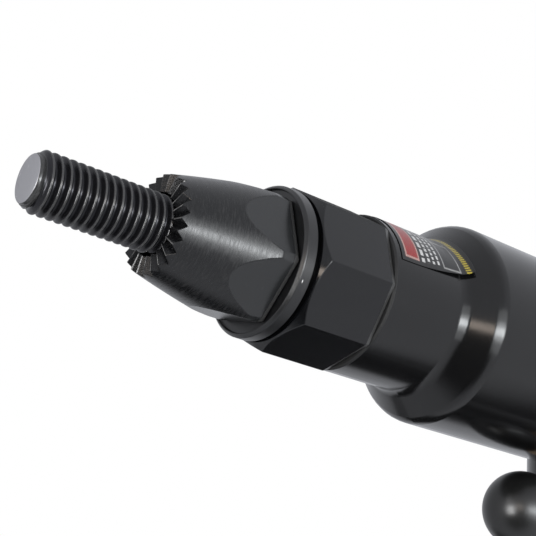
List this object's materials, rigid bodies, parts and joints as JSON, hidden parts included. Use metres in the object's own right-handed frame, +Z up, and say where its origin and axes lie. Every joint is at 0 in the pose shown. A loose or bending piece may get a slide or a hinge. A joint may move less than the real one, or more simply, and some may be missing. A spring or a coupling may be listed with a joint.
{
  "type": "rivet nut tool",
  "caption": "Pistol-grip air tool that spins a threaded mandrel inside a serrated nosepiece to pull up blind rivet nuts, with a ball trigger and an air inlet in the foot of the handle.",
  "frame": {"origin": "on the mandrel's axis at the root of its free thread, 0.3 mm ahead of the nosepiece's tooth tips", "axes": "+X to the rear along the barrel, -X out of the nose, +Z up, the handle hangs to -Z"},
  "size_m": [0.1843, 0.038, 0.1509],
  "materials": {
    "threaded_steel": "dark phosphated steel, bright on the thread's crests",
    "black_oxide": "satin black oxide with fine turning marks",
    "black_paint": "glossy black paint",
    "black_plastic": "glossy black",
    "bright_steel": "ground",
    "gear_steel": "oiled",
    "bearing_steel": "polished",
    "cast_iron": "machined",
    "brass": "machined",
    "rubber": "matt",
    "vane_plastic": "layered resin",
    "felt": "felt",
    "dark_steel": "black oxide"
  },
  "bodies": {
    "housing": {"nosepiece": "black_oxide", "lock_ring": "black_oxide", "nose_collar": "black_oxide", "thrust_washer_front": "bright_steel", "ring_gear": "gear_steel", "spindle_bearing_outer": "bearing_steel", "spindle_bearing_balls": "bearing_steel", "front_end_plate": "cast_iron", "front_bearing_outer": "bearing_steel", "front_bearing_balls": "bearing_steel", "motor_cylinder": "cast_iron", "rear_end_plate": "cast_iron", "rear_bearing_outer": "bearing_steel", "rear_bearing_balls": "bearing_steel", "body_housing": "black_paint", "rear_cap": "black_paint", "rear_cap_seal": "rubber", "trigger_bushing": "brass", "stem_seal": "rubber", "valve_seat": "brass", "valve_plug": "bright_steel", "inlet_bushing": "bright_steel", "inlet_screen": "bright_steel", "exhaust_cap": "black_paint", "muffler_felt": "felt", "exhaust_cap_screws": "dark_steel"},
    "spindle": {"mandrel": "threaded_steel", "thrust_washer_rear": "bright_steel", "drive_bit": "bright_steel", "output_spindle": "bright_steel", "planet_pins": "bright_steel", "spindle_bearing_inner": "bearing_steel"},
    "rotor": {"rotor": "gear_steel", "rotor_vanes": "vane_plastic", "front_bearing_inner": "bearing_steel", "rear_bearing_inner": "bearing_steel"},
    "planet_1": {"planet_gear_1": "gear_steel"},
    "planet_2": {"planet_gear_2": "gear_steel"},
    "planet_3": {"planet_gear_3": "gear_steel"},
    "thrust_cage": {"thrust_cage": "brass", "thrust_needles": "bearing_steel"},
    "trigger": {"trigger_head": "black_plastic", "trigger_stem": "bright_steel", "throttle_valve": "rubber", "throttle_spring": "bright_steel"},
    "reverse": {"reverse_valve": "brass", "reverse_knob": "black_plastic", "knob_screw": "bright_steel", "reverse_retainer": "dark_steel"}
  },
  "joints": [
    {"name": "mandrel_spin", "type": "hinge", "parent": "housing", "child": "spindle", "pos_m": [0, 0, 0], "axis": [1, 0, 0], "continuous": true},
    {"name": "rotor_spin", "type": "hinge", "parent": "housing", "child": "rotor", "pos_m": [0.1, 0, 0], "axis": [1, 0, 0], "continuous": true},
    {"name": "planet_1_spin", "type": "hinge", "parent": "spindle", "child": "planet_1", "pos_m": [0.0669, 0, 0.00945], "axis": [1, 0, 0], "continuous": true},
    {"name": "planet_2_spin", "type": "hinge", "parent": "spindle", "child": "planet_2", "pos_m": [0.0669, -0.00818, -0.00473], "axis": [1, 0, 0], "continuous": true},
    {"name": "planet_3_spin", "type": "hinge", "parent": "spindle", "child": "planet_3", "pos_m": [0.0669, 0.00818, -0.00473], "axis": [1, 0, 0], "continuous": true},
    {"name": "thrust_cage_spin", "type": "hinge", "parent": "housing", "child": "thrust_cage", "pos_m": [0.0348, 0, 0], "axis": [1, 0, 0], "continuous": true},
    {"name": "trigger_press", "type": "slide", "parent": "housing", "child": "trigger", "axis": [1, 0, 0], "range_m": [0, 0.0045], "stiffness_N_per_m": 1200, "springref_m": -0.004, "deforming": ["throttle_spring"]},
    {"name": "reverse_turn", "type": "hinge", "parent": "housing", "child": "reverse", "pos_m": [0.155, 0, 0], "axis": [1, 0, 0], "range_deg": [0, 60]}
  ],
  "couplings": [
    {"joint": "rotor_spin", "follows": "mandrel_spin", "ratio": 4.5},
    {"joint": "planet_1_spin", "follows": "mandrel_spin", "ratio": -2.8},
    {"joint": "planet_2_spin", "follows": "mandrel_spin", "ratio": -2.8},
    {"joint": "planet_3_spin", "follows": "mandrel_spin", "ratio": -2.8},
    {"joint": "thrust_cage_spin", "follows": "mandrel_spin", "ratio": 0.5}
  ]
}
